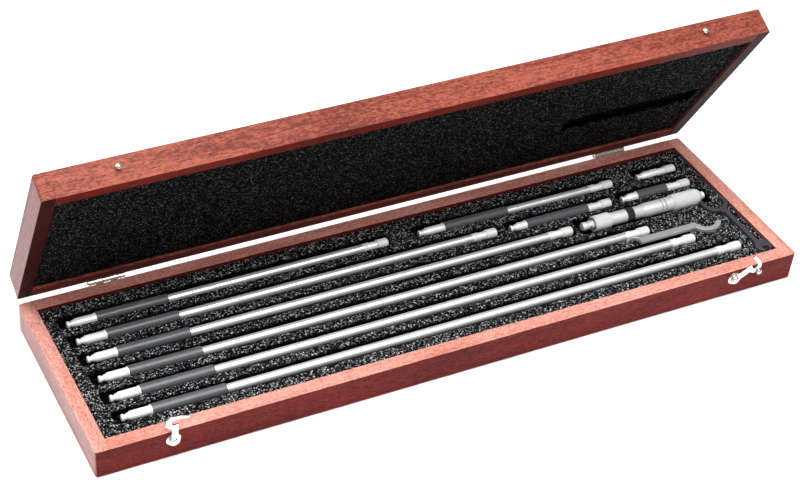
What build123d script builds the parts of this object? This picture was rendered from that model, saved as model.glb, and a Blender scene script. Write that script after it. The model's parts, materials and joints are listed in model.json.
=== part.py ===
from build123d import *
import os

# Cased tubular inside micrometer set: hinged wooden case, measuring head, ten extension rods, two wrenches.
# Millimetres. Origin: centre of the case's underside. +X along the case, +Y to the hinges, +Z up.
# The lid stands open as it does in use; every lid piece is drawn shut and then swung open.

INCH = 25.4

# Case
CASE_LENGTH = 520.0
CASE_DEPTH = 147.5
TRAY_HEIGHT = 22.0
LID_HEIGHT = 18.7
WALL = 9.8
PANEL = 3.0
CORNER_RADIUS = 2.0
EDGE_RADIUS = 1.4
FINGER_COUNT = 3
LID_OPENING = 62.4

# Foam
FOAM_GAP = 0.3
FOAM_TOP = 20.7
POCKET_FLOOR = 14.2
LID_FOAM_FACE = TRAY_HEIGHT + 1.7
ROW_PITCH = 0.75 * INCH
ROW_COUNT = 6
POCKET_WIDTH = 12.0
POCKET_CORNER = 1.5
POCKET_END_GAP = 1.2
FIRST_ROW = (CASE_DEPTH - ROW_PITCH * (ROW_COUNT - 1)) / 2
RELIEF_DEPTH = 4.2
RELIEF_WIDTH = 17.0

# Hinges
HINGE_OFFSET = 3.0
HINGE_LENGTH = 26.0
HINGE_FROM_END = 49.5
KNUCKLES = 5
KNUCKLE_RADIUS = 2.7
KNUCKLE_GAP = 0.15
LEAF_THICKNESS = 1.0
LEAF_HEIGHT = 11.0
PIN_RADIUS = 1.1
PIN_CLEARANCE = 0.05
LEAF_SCREW_SPACING = 16.0

# Latches
HOOK_FROM_END = 51.0
HOOK_HEIGHT = 15.2
HOOK_REACH = 16.8
HOOK_THICKNESS = 1.1
HOOK_GAP = 0.1
LEFT_HOOK_TURN = 0.0
RIGHT_HOOK_TURN = 60.0
ENGAGED_TURN = 4.0
WASHER_RADIUS = 5.0
WASHER_THICKNESS = 1.2
SCREW_RADIUS = 1.2
SCREW_HEAD_RADIUS = 2.6
PEG_RADIUS = 0.9
PEG_HEAD_RADIUS = 2.1
PEG_STANDOFF = 2.6
REST_PIN_SPREAD = 18.3
REST_PIN_RISE = 2.5

# Rods: name, nominal length in inches, left tip from the case's left end, row, set forward in the pocket
TIP_START = 26.6
TIP_STEP = 0.5
RODS = [
    ("rod_18in", 18, TIP_START, 0, 0.1),
    ("rod_17in", 17, TIP_START - TIP_STEP, 1, 0.4),
    ("rod_16in", 16, TIP_START - 2 * TIP_STEP, 2, 0.4),
    ("rod_14in", 14, TIP_START - 3 * TIP_STEP, 3, -0.5),
    ("rod_12in", 12, TIP_START - 4 * TIP_STEP, 4, 0.4),
    ("rod_09in", 9, TIP_START - 5 * TIP_STEP, 5, 1.3),
    ("rod_06in", 6, 284.2, 5, 1.3),
    ("rod_03in", 3, 347.8, 4, 1.0),
    ("rod_02in", 2, 440.4, 4, 1.3),
    ("rod_01in", 1, 465.9, 5, 1.3),
]
SPIGOT_LENGTH = 7.0
TUBE_RADIUS = 3.0
FERRULE_RADIUS = 3.15
CAP_RADIUS = 3.6
CAP_LENGTH = 8.7
NUT_RADIUS = 3.3
NUT_START = 19.2
NUT_END = 14.9
GRIP_RADIUS = 3.95
GRIP_LENGTH = 2 * INCH
SHORT_GRIP_LENGTH = 1 * INCH
GRIP_START = 20.0
SHORT_GRIP_START = 12.6
RING_LENGTH = 1.0
RING_RADIUS = 3.5
LONG_VOID = 5.5
SHORT_VOID = 3.5
REST_GAP = 0.15

# Measuring head, distances along it from the left contact tip
HEAD_START = 395.0
HEAD_ROW = 3
HEAD_FORWARD = 1.0
COLLAR_START = 8.8
COLLAR_END = 22.6
RING_START = 36.2
RING_END = 42.0
THIMBLE_START = 49.6
KNURL_START = 74.6
SHOULDER_START = 95.8
THIMBLE_END = 100.0
HEAD_END = 103.4
TIP_RADIUS = 3.1
COLLAR_RADIUS = 5.8
COLLAR_BORE = 4.6
BODY_RADIUS = 4.8
LOCK_RING_RADIUS = 5.15
SLEEVE_RADIUS = 4.6
SLEEVE_BORE = 3.4
THIMBLE_RADIUS = 5.3
THIMBLE_CLEARANCE = 0.08
KNURL_RADIUS = 6.15
SPINDLE_RADIUS = 2.8
STEM_RADIUS = 2.0
BUTTON_RADIUS = 2.8
HEAD_TRAVEL = 2.54
HEAD_POCKET_WIDTH = 17.4

# Wrenches
WRENCH_THICKNESS = 2.4
OPEN_WRENCH_RECESS = 1.2
HOOK_WRENCH_RECESS = 0.4
RECESS_MARGIN = 0.8
OPEN_WRENCH_X = 502.0
HANDLE_WIDTH = 3.6


def case_point(x, y, z):
    """A place measured from the case's left end, front face and underside."""
    return Pos(x - CASE_LENGTH / 2, y - CASE_DEPTH / 2, z)


def block(x0, x1, y0, y1, z0, z1):
    """A box between two corners measured from the case's left end, front face and underside."""
    centre = case_point((x0 + x1) / 2, (y0 + y1) / 2, (z0 + z1) / 2)
    return centre * Box(x1 - x0, y1 - y0, z1 - z0)


def open_lid(shape):
    """Swing a lid piece open about the hinge axis."""
    axis = Pos(0, CASE_DEPTH / 2 + HINGE_OFFSET, TRAY_HEIGHT)
    return axis * Rot(-LID_OPENING, 0, 0) * axis.inverse() * shape


def turned(profile):
    """A solid of revolution about +X from (distance, radius) points, closed along the axis."""
    points = [(profile[0][0], 0), *profile, (profile[-1][0], 0)]
    face = make_face(Polyline(*points, close=True))
    return revolve(face, Axis.X)


def round_bar(start, end, radius):
    """A plain bar along +X."""
    return Pos((start + end) / 2, 0, 0) * Rot(0, 90, 0) * Cylinder(radius, end - start)


# ---------------------------------------------------------------- case walls


def rounded_case(z0, z1, flat_face_at_top):
    """The case half's outer form: rounded corners and an eased edge on the outer panel."""
    body = block(0, CASE_LENGTH, 0, CASE_DEPTH, z0, z1)
    body = fillet(body.edges().filter_by(Axis.Z), CORNER_RADIUS)
    outer_face = body.faces().sort_by(Axis.Z)[0 if flat_face_at_top else -1]
    return fillet(outer_face.edges(), EDGE_RADIUS)


def finger_blocks(z0, z1, own_parity):
    """Blocks at the four corners where the fingers of one pair of walls pass."""
    step = (z1 - z0) / FINGER_COUNT
    blocks = []
    for index in range(FINGER_COUNT):
        if index % 2 != own_parity:
            continue
        low, high = z0 + index * step, z0 + (index + 1) * step
        for x0 in (0, CASE_LENGTH - WALL):
            for y0 in (0, CASE_DEPTH - WALL):
                blocks.append(block(x0, x0 + WALL, y0, y0 + WALL, low, high))
    return blocks


def case_walls(z0, z1, outer, prefix):
    """Four walls joined by interlocking fingers; the end walls' fingers are at top and bottom."""
    long_fingers = finger_blocks(z0, z1, 1)
    end_fingers = finger_blocks(z0, z1, 0)
    spans = {
        "front": block(0, CASE_LENGTH, 0, WALL, z0, z1),
        "back": block(0, CASE_LENGTH, CASE_DEPTH - WALL, CASE_DEPTH, z0, z1),
        "left": block(0, WALL, 0, CASE_DEPTH, z0, z1),
        "right": block(CASE_LENGTH - WALL, CASE_LENGTH, 0, CASE_DEPTH, z0, z1),
    }
    walls = {}
    for side, span in spans.items():
        cuts = end_fingers if side in ("front", "back") else long_fingers
        walls[f"{prefix}_{side}"] = (span - cuts) & outer
    return walls


# ---------------------------------------------------------------- pockets


def slot(x0, x1, y, width, z0, z1):
    """A pocket with small round corners, cut along a row."""
    pocket = block(x0, x1, y - width / 2, y + width / 2, z0, z1)
    return fillet(pocket.edges().filter_by(Axis.Z), POCKET_CORNER)


def row_y(row):
    return FIRST_ROW + row * ROW_PITCH


def rod_length(inches):
    return inches * INCH + SPIGOT_LENGTH


def rod_pockets(z0, z1):
    pockets = []
    for _, inches, tip, row, _ in RODS:
        void = LONG_VOID if inches > 6 else SHORT_VOID
        end = tip + rod_length(inches) + POCKET_END_GAP
        pockets.append(slot(tip - void, end, row_y(row), POCKET_WIDTH, z0, z1))
    return pockets


def head_pocket(width, z0, z1, margin):
    start = HEAD_START - margin
    end = HEAD_START + HEAD_END + HEAD_TRAVEL + 0.4
    return slot(start, end, row_y(HEAD_ROW), width, z0, z1)


# ---------------------------------------------------------------- wrenches


def grown(outline, margin):
    return offset(outline, margin) if margin else outline


def open_wrench_outline(margin=0.0):
    """Large open jaw at the back, slim handle and a small slotted jaw at the front."""
    jaw_x, jaw_y = OPEN_WRENCH_X - 2.6, 71.6
    fork_x, fork_y = OPEN_WRENCH_X + 1.8, 16.6
    handle = Pos(OPEN_WRENCH_X, 41) * Rectangle(HANDLE_WIDTH, 46)
    neck = Pos(OPEN_WRENCH_X - 0.6, 61.0) * Rectangle(HANDLE_WIDTH + 2.4, 5)
    outline = handle + neck + Pos(jaw_x, jaw_y - 0.6) * Circle(10.2) + Pos(fork_x, fork_y) * Circle(6.0)
    outline = grown(outline, margin)
    outline -= Pos(jaw_x, jaw_y) * Circle(7.5 - margin)
    outline -= Pos(jaw_x, jaw_y + 10) * Rectangle(30, 13 - 2 * margin)
    outline -= Pos(fork_x + 0.4, fork_y - 4.5) * Rectangle(4.4 - 2 * margin, 6.6 - 2 * margin)
    return Pos(-CASE_LENGTH / 2, -CASE_DEPTH / 2) * outline


def hook_wrench_outline(margin=0.0):
    """Handle with a small hook turned down at the left and a large hook turned up at the right."""
    small_x, small_y, small_bore, small_arm = 420.3, 50.6, 5.5, 1.8
    large_x, large_y, large_bore, large_arm = 480.4, 55.8, 8.2, 3.9
    handle_top = 55.3
    handle = Pos(449.2, 52.7) * Rectangle(49.5, 5.2)
    small = Pos(small_x, small_y) * Circle(small_bore + small_arm)
    large = Pos(large_x, large_y) * Circle(large_bore + large_arm)
    outline = grown(handle + small + large, margin)
    outline -= Pos(small_x, small_y) * Circle(small_bore - margin)
    outline -= Pos(small_x, small_y - 6.5) * Rectangle(18, 12 - 2 * margin)
    outline -= Pos(small_x - 4.5, small_y - 3.5) * Rectangle(11 - 2 * margin, 15 - 2 * margin)
    outline -= Pos(large_x, large_y) * Circle(large_bore - margin)
    outline -= Pos(large_x + 4, large_y + 5.5) * Rectangle(26 - 2 * margin, 20 - 2 * margin)
    outline -= Pos(large_x - 9, handle_top + 6.7) * Rectangle(22 - 2 * margin, 14 - 2 * margin)
    outline += grown(handle, margin) - Pos(large_x, large_y) * Circle(large_bore - margin)
    return Pos(-CASE_LENGTH / 2, -CASE_DEPTH / 2) * outline


def flat_wrench(outline, recess):
    bottom = FOAM_TOP - recess + REST_GAP
    plate = extrude(Pos(0, 0, bottom) * outline, WRENCH_THICKNESS)
    rims = plate.edges().group_by(Axis.Z)
    return chamfer(rims[-1], 0.3)


def wrench_recess(outline, recess):
    return extrude(Pos(0, 0, FOAM_TOP - recess) * outline, recess + 1)


# ---------------------------------------------------------------- foam


def tray_foam():
    inner = WALL + FOAM_GAP
    right, back = CASE_LENGTH - inner, CASE_DEPTH - inner
    base = block(inner, right, inner, back, PANEL, POCKET_FLOOR)
    insert = block(inner, right, inner, back, POCKET_FLOOR, FOAM_TOP)
    low, high = POCKET_FLOOR - 1, FOAM_TOP + 1
    insert -= rod_pockets(low, high)
    insert -= head_pocket(HEAD_POCKET_WIDTH, low, high, 3.0)
    insert -= wrench_recess(open_wrench_outline(RECESS_MARGIN), OPEN_WRENCH_RECESS)
    insert -= wrench_recess(hook_wrench_outline(RECESS_MARGIN), HOOK_WRENCH_RECESS)
    return base, insert


def lid_foam():
    inner = WALL + FOAM_GAP
    top = TRAY_HEIGHT + LID_HEIGHT - PANEL
    pad = block(inner, CASE_LENGTH - inner, inner, CASE_DEPTH - inner, LID_FOAM_FACE, top)
    return pad - head_pocket(RELIEF_WIDTH, LID_FOAM_FACE - 1, LID_FOAM_FACE + RELIEF_DEPTH, 2.0)


# ---------------------------------------------------------------- hinges


def hinge_starts():
    return {
        "left": HINGE_FROM_END,
        "right": CASE_LENGTH - HINGE_FROM_END - HINGE_LENGTH + 2.0,
    }


def hinge_axis(start):
    return case_point(start, CASE_DEPTH + HINGE_OFFSET, TRAY_HEIGHT)


def hinge_leaf(start, on_lid):
    """A leaf screwed to the back face, with every second knuckle rolled around the pin."""
    segment = HINGE_LENGTH / KNUCKLES
    rise = LEAF_HEIGHT if on_lid else -LEAF_HEIGHT
    z0, z1 = sorted((TRAY_HEIGHT, TRAY_HEIGHT + rise))
    leaf = block(start, start + HINGE_LENGTH, CASE_DEPTH, CASE_DEPTH + LEAF_THICKNESS, z0, z1)
    for index in range(KNUCKLES):
        low, high = index * segment, (index + 1) * segment
        if (index % 2 == 1) == on_lid:
            knuckle = round_bar(low + KNUCKLE_GAP, high - KNUCKLE_GAP, KNUCKLE_RADIUS)
            leaf += hinge_axis(start) * knuckle
        else:
            clear = round_bar(low - KNUCKLE_GAP, high + KNUCKLE_GAP, KNUCKLE_RADIUS + 0.3)
            leaf -= hinge_axis(start) * clear
    return leaf - hinge_axis(start) * round_bar(-1, HINGE_LENGTH + 1, PIN_RADIUS + PIN_CLEARANCE)


def hinge_pin(start):
    pin = round_bar(-0.6, HINGE_LENGTH + 0.6, PIN_RADIUS)
    return hinge_axis(start) * chamfer(pin.edges(), 0.3)


def leaf_screw(x, z):
    """A small round-head screw driven into the back face."""
    head = turned([(0, 1.7), (0.5, 1.55), (0.9, 1.0), (1.05, 0.4)])
    shank = round_bar(-7.5, 0, 0.8)
    face = case_point(x, CASE_DEPTH + LEAF_THICKNESS, z)
    return face * Rot(0, 0, 90) * (head + shank)


def leaf_screws(on_lid):
    rise = 7.2 if on_lid else -7.2
    screws = []
    for start in hinge_starts().values():
        for side in (-1, 1):
            x = start + HINGE_LENGTH / 2 + side * LEAF_SCREW_SPACING / 2
            screws.append(leaf_screw(x, TRAY_HEIGHT + rise))
    return screws


# ---------------------------------------------------------------- latches


def pivot_point(side):
    x = HOOK_FROM_END if side == "left" else CASE_LENGTH - HOOK_FROM_END
    return x, HOOK_HEIGHT


def hook_outline():
    """Flat hook, pivot at the origin, arm straight up and throat opening to the right."""
    seat = HOOK_REACH - 0.4
    arm = Pos(0.2, seat / 2 - 1) * Rectangle(4.3, seat - 2.2)
    crook = Pos(-1.0, seat) * Circle(5.0) - Pos(-0.2, seat) * Circle(2.1)
    crook -= Pos(5.0, seat) * Rectangle(10.4, 4.2)
    crook -= Pos(4.8, seat - 4) * Rectangle(4.6, 5)
    spine = Polyline(
        (-1.0, seat + 2.1), (3.5, seat + 2.0), (9.2, seat + 0.9),
        (9.6, seat + 2.6), (4.0, seat + 4.6), (-1.0, seat + 5.0), close=True,
    )
    outline = Circle(3.5) + arm + crook + make_face(spine)
    return outline - Circle(SCREW_RADIUS + 0.05)


def hook(side):
    turn = LEFT_HOOK_TURN if side == "left" else RIGHT_HOOK_TURN
    outline = hook_outline()
    if side == "right":
        outline = mirror(outline, Plane.YZ)
    plate = extrude(Rot(0, 0, -turn) * outline, HOOK_THICKNESS)
    x, z = pivot_point(side)
    behind = WASHER_THICKNESS + HOOK_GAP
    return case_point(x, -behind, z) * Rot(90, 0, 0) * plate


def facing_front(x, y, z, shape):
    """Place a piece drawn along +X so that it points out of the front face."""
    return case_point(x, y, z) * Rot(0, 0, -90) * shape


def cup_washer(side):
    x, z = pivot_point(side)
    cup = turned([(0, WASHER_RADIUS), (0.5, WASHER_RADIUS), (WASHER_THICKNESS, 4.2)])
    cup -= round_bar(-1, WASHER_THICKNESS + 1, SCREW_RADIUS)
    return facing_front(x, 0, z, cup)


def pivot_screw(side):
    x, z = pivot_point(side)
    under_head = WASHER_THICKNESS + HOOK_THICKNESS + 2 * HOOK_GAP
    head = Pos(under_head, 0, 0) * turned([(0, SCREW_HEAD_RADIUS), (0.5, 2.45), (1.0, 1.7), (1.25, 0.7)])
    head -= Pos(under_head + 1.0, 0, 0) * Box(1.0, 8, 0.6)
    screw = head + round_bar(-7.5, under_head, SCREW_RADIUS)
    return facing_front(x, 0, z, screw)


def round_pin(x, z):
    """A round-head nail; its shank stands out of the front face far enough for a hook behind the head."""
    head = turned([(0, 1.7), (0.5, PEG_HEAD_RADIUS), (1.1, 1.9), (1.7, 1.1), (1.9, 0.4)])
    shank = round_bar(-6.5, PEG_STANDOFF, PEG_RADIUS)
    return facing_front(x, 0, z, Pos(PEG_STANDOFF, 0, 0) * head + shank)


def lid_pegs():
    """Pegs that the hooks catch, right above where each hook stands when it is engaged."""
    pegs = []
    for side, lean in (("left", 0), ("right", ENGAGED_TURN)):
        x, z = pivot_point(side)
        top = Vector(0, HOOK_REACH).rotate(Axis.Z, -lean)
        pegs.append(round_pin(x + top.X, z + top.Y))
    return pegs


def hook_rest_pin():
    """Pin that the right hook leans on when it is let down."""
    x, z = pivot_point("right")
    return round_pin(x + REST_PIN_SPREAD, z + REST_PIN_RISE)


# ---------------------------------------------------------------- rods


def rod_spigot(length_to_grip):
    """Stepped tip with a waist, a chamfer and the bright ferrule behind it."""
    return turned([
        (0, 2.0), (0.4, 2.4), (1.5, 2.4), (2.0, 1.8), (3.2, 1.8), (3.7, 2.4), (4.6, 2.4),
        (6.2, FERRULE_RADIUS), (length_to_grip, FERRULE_RADIUS),
    ])


def rod_nuts(end):
    """Pair of thin adjusting rings on the tube near the cap."""
    start, stop = end - NUT_START, end - NUT_END
    width = (stop - start - 0.7) / 2
    groove = TUBE_RADIUS - 0.35
    return turned([
        (start, NUT_RADIUS), (start + width, NUT_RADIUS),
        (start + width + 0.1, groove), (stop - width - 0.1, groove),
        (stop - width, NUT_RADIUS), (stop, NUT_RADIUS),
    ])


def rod_cap(end):
    cap = round_bar(end - CAP_LENGTH, end, CAP_RADIUS)
    return fillet(cap.edges().sort_by(Axis.X)[-1], 1.3)


def grip_span(inches):
    if inches >= 6:
        return GRIP_START, GRIP_START + GRIP_LENGTH
    length = GRIP_LENGTH if inches == 3 else SHORT_GRIP_LENGTH
    return SHORT_GRIP_START, SHORT_GRIP_START + length


def extension_rod(inches):
    """Steel pieces and grip of one rod, tip at the origin and length along +X."""
    end = rod_length(inches)
    nut_start, nut_end = end - NUT_START, end - NUT_END
    neck = round_bar(nut_end, end - CAP_LENGTH, TUBE_RADIUS - 0.1)
    if inches == 1:
        return [rod_spigot(nut_start), rod_nuts(end), neck, rod_cap(end)], None
    grip_start, grip_end = grip_span(inches)
    ring = round_bar(grip_start - RING_LENGTH, grip_start, RING_RADIUS)
    tube = round_bar(grip_start, nut_start, TUBE_RADIUS)
    grip = turned([
        (grip_start, GRIP_RADIUS - 0.35), (grip_start + 0.35, GRIP_RADIUS),
        (grip_end - 0.35, GRIP_RADIUS), (grip_end, GRIP_RADIUS - 0.35),
    ])
    grip -= round_bar(0, end, TUBE_RADIUS)
    return [rod_spigot(grip_start - RING_LENGTH) + ring, tube, rod_nuts(end), neck, rod_cap(end)], grip


def rod_nodes():
    nodes = {}
    for name, inches, tip, row, forward in RODS:
        steel, grip = extension_rod(inches)
        rest_radius = GRIP_RADIUS if grip else CAP_RADIUS
        place = case_point(tip, row_y(row) - forward, POCKET_FLOOR + rest_radius + REST_GAP)
        nodes[name] = [place * piece for piece in steel]
        if grip:
            nodes[f"{name}_grip"] = place * grip
    return nodes


# ---------------------------------------------------------------- measuring head


def head_tip():
    """Left contact: a stepped stud with a cross hole, reaching back through the collar."""
    tip = turned([
        (0, 2.7), (0.7, TIP_RADIUS), (3.4, TIP_RADIUS), (3.9, 2.7), (5.0, 2.7), (5.5, TIP_RADIUS),
        (COLLAR_END - 8, TIP_RADIUS),
    ])
    cross_hole = Pos(6.4, 0, 0) * Cylinder(0.8, 20)
    return tip - Rot(82, 0, 0) * cross_hole


def head_collar():
    collar = turned([
        (COLLAR_START, COLLAR_RADIUS - 0.5), (COLLAR_START + 0.5, COLLAR_RADIUS),
        (COLLAR_END - 0.5, COLLAR_RADIUS), (COLLAR_END, COLLAR_RADIUS - 0.5),
    ])
    mouth = round_bar(COLLAR_START - 1, COLLAR_END - 8, COLLAR_BORE)
    return collar - mouth - round_bar(COLLAR_END - 9, COLLAR_END + 1, TIP_RADIUS + 0.06)


def head_body():
    body = turned([
        (COLLAR_END - 8, TIP_RADIUS), (COLLAR_END + 0.2, TIP_RADIUS), (COLLAR_END + 0.2, BODY_RADIUS),
        (RING_START, BODY_RADIUS), (RING_START, SLEEVE_RADIUS - 0.6), (RING_END, SLEEVE_RADIUS - 0.6),
    ])
    return body - round_bar(RING_START - 8, RING_END + 1, SLEEVE_BORE)


def head_lock_ring():
    return round_bar(RING_START, RING_END, LOCK_RING_RADIUS) - round_bar(0, HEAD_END, SLEEVE_RADIUS - 0.6)


def head_sleeve():
    sleeve = round_bar(RING_END, KNURL_START + 8, SLEEVE_RADIUS)
    return sleeve - round_bar(RING_END - 1, KNURL_START + 9, SLEEVE_BORE)


def head_thimble():
    outer = turned([
        (THIMBLE_START, THIMBLE_RADIUS - 0.35), (THIMBLE_START + 1.4, THIMBLE_RADIUS),
        (KNURL_START, THIMBLE_RADIUS), (KNURL_START + 0.6, KNURL_RADIUS), (SHOULDER_START, KNURL_RADIUS),
        (SHOULDER_START + 1.5, KNURL_RADIUS - 0.5), (SHOULDER_START + 3.0, KNURL_RADIUS - 1.6),
        (THIMBLE_END, KNURL_RADIUS - 3.0),
    ])
    outer -= round_bar(0, KNURL_START + 8 + HEAD_TRAVEL, SLEEVE_RADIUS + THIMBLE_CLEARANCE)
    return outer - round_bar(0, HEAD_END, STEM_RADIUS + 0.05)


def head_end_contact():
    """Spindle with its hardened contact button; it runs out with the thimble."""
    spindle = round_bar(RING_START - 7, KNURL_START + 8, SPINDLE_RADIUS)
    stem = round_bar(KNURL_START + 8, THIMBLE_END, STEM_RADIUS)
    button = Pos(THIMBLE_END, 0, 0) * turned([
        (0, STEM_RADIUS), (0.8, STEM_RADIUS), (0.8, BUTTON_RADIUS), (2.7, BUTTON_RADIUS),
        (3.2, BUTTON_RADIUS - 0.6), (HEAD_END - THIMBLE_END, BUTTON_RADIUS - 1.6),
    ])
    return spindle + stem + button


def head_nodes():
    y = row_y(HEAD_ROW) - HEAD_FORWARD
    place = case_point(HEAD_START, y, POCKET_FLOOR + KNURL_RADIUS + REST_GAP)
    pieces = {
        "head_tip": head_tip(),
        "head_collar": head_collar(),
        "head_body": head_body(),
        "head_lock_ring": head_lock_ring(),
        "head_sleeve": head_sleeve(),
        "head_thimble": head_thimble(),
        "head_end_contact": head_end_contact(),
    }
    return {name: place * piece for name, piece in pieces.items()}


# ---------------------------------------------------------------- assembly


def case_nodes():
    tray_outer = rounded_case(0, TRAY_HEIGHT, True)
    lid_outer = rounded_case(TRAY_HEIGHT, TRAY_HEIGHT + LID_HEIGHT, False)
    lid_panel_low = TRAY_HEIGHT + LID_HEIGHT - PANEL
    tray = case_walls(PANEL, TRAY_HEIGHT, tray_outer, "tray")
    tray["tray_bottom"] = block(0, CASE_LENGTH, 0, CASE_DEPTH, 0, PANEL) & tray_outer
    tray["tray_foam_base"], tray["tray_foam_insert"] = tray_foam()
    lid = case_walls(TRAY_HEIGHT, lid_panel_low, lid_outer, "lid")
    top = block(0, CASE_LENGTH, 0, CASE_DEPTH, lid_panel_low, TRAY_HEIGHT + LID_HEIGHT)
    lid["lid_top"] = top & lid_outer
    lid["lid_foam"] = lid_foam()
    return tray, lid


def hardware_nodes(tray, lid):
    """Hinges and latches; the walls and leaves are drilled for what is driven into them."""
    tray_screws, lid_screws = leaf_screws(False), leaf_screws(True)
    for side, start in hinge_starts().items():
        tray[f"hinge_{side}_tray_leaf"] = hinge_leaf(start, False) - tray_screws
        tray[f"hinge_{side}_pin"] = hinge_pin(start)
        lid[f"hinge_{side}_lid_leaf"] = hinge_leaf(start, True) - lid_screws
    pivot_screws = [pivot_screw(side) for side in ("left", "right")]
    rest_pin, pegs = hook_rest_pin(), lid_pegs()
    tray["tray_back"] -= tray_screws
    tray["tray_front"] -= [*pivot_screws, rest_pin]
    lid["lid_back"] -= lid_screws
    lid["lid_front"] -= pegs
    tray["hinge_tray_screws"] = tray_screws
    tray["hook_washers"] = [cup_washer(side) for side in ("left", "right")]
    tray["hook_pivot_screws"] = pivot_screws
    tray["hook_rest_pin"] = rest_pin
    lid["hinge_lid_screws"] = lid_screws
    lid["lid_pegs"] = pegs
    for side in ("left", "right"):
        tray[f"hook_{side}"] = hook(side)


def wrench_nodes():
    return {
        "wrench_open_end": flat_wrench(open_wrench_outline(), OPEN_WRENCH_RECESS),
        "wrench_hook": flat_wrench(hook_wrench_outline(), HOOK_WRENCH_RECESS),
    }


def all_nodes():
    tray, lid = case_nodes()
    hardware_nodes(tray, lid)
    lid = {name: [open_lid(piece) for piece in as_list(shape)] for name, shape in lid.items()}
    return {**tray, **lid, **head_nodes(), **wrench_nodes(), **rod_nodes()}


def as_list(shape):
    return shape if isinstance(shape, list) else [shape]


def solids_of(shape):
    return [solid for piece in as_list(shape) for solid in piece.solids()]


os.makedirs("parts", exist_ok=True)
for node, shape in all_nodes().items():
    solids = solids_of(shape)
    export_step(solids[0] if len(solids) == 1 else Compound(children=solids), f"parts/{node}.step")
    print(node, len(solids), "solid(s)")
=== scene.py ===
import json
import math

import bmesh
import bpy
import numpy as np
from mathutils import Matrix, Vector, noise


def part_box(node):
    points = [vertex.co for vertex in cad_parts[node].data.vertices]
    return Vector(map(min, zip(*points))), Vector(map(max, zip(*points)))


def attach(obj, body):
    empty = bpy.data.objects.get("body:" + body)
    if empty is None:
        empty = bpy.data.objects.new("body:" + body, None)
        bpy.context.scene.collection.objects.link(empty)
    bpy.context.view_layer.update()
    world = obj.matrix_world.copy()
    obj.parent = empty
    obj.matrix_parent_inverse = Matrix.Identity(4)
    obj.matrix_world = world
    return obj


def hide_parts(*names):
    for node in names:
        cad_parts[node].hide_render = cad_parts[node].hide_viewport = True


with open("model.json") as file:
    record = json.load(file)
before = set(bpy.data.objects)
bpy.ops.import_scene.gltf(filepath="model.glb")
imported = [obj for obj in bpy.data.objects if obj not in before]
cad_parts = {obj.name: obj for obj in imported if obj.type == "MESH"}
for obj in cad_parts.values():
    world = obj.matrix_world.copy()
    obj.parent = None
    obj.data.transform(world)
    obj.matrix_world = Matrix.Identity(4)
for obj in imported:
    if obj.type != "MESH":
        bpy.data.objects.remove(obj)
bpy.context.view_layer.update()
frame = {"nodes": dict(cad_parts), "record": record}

# Lengths are in millimetres until they are multiplied by MM, except for the lights and the camera.
MM = 0.001
JOINTS = {joint["name"]: joint for joint in frame["record"]["behaviour"]["joints"]}
LID_ANGLE = math.radians(-JOINTS["lid_hinge"]["range_deg"][0])
HINGE_POINT = Vector(JOINTS["lid_hinge"]["pos_m"])
BODY_OF = {
    node: body
    for body, nodes in frame["record"]["behaviour"]["bodies"].items()
    for node in nodes
}


# ------------------------------------------------------------------ shader helpers


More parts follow.
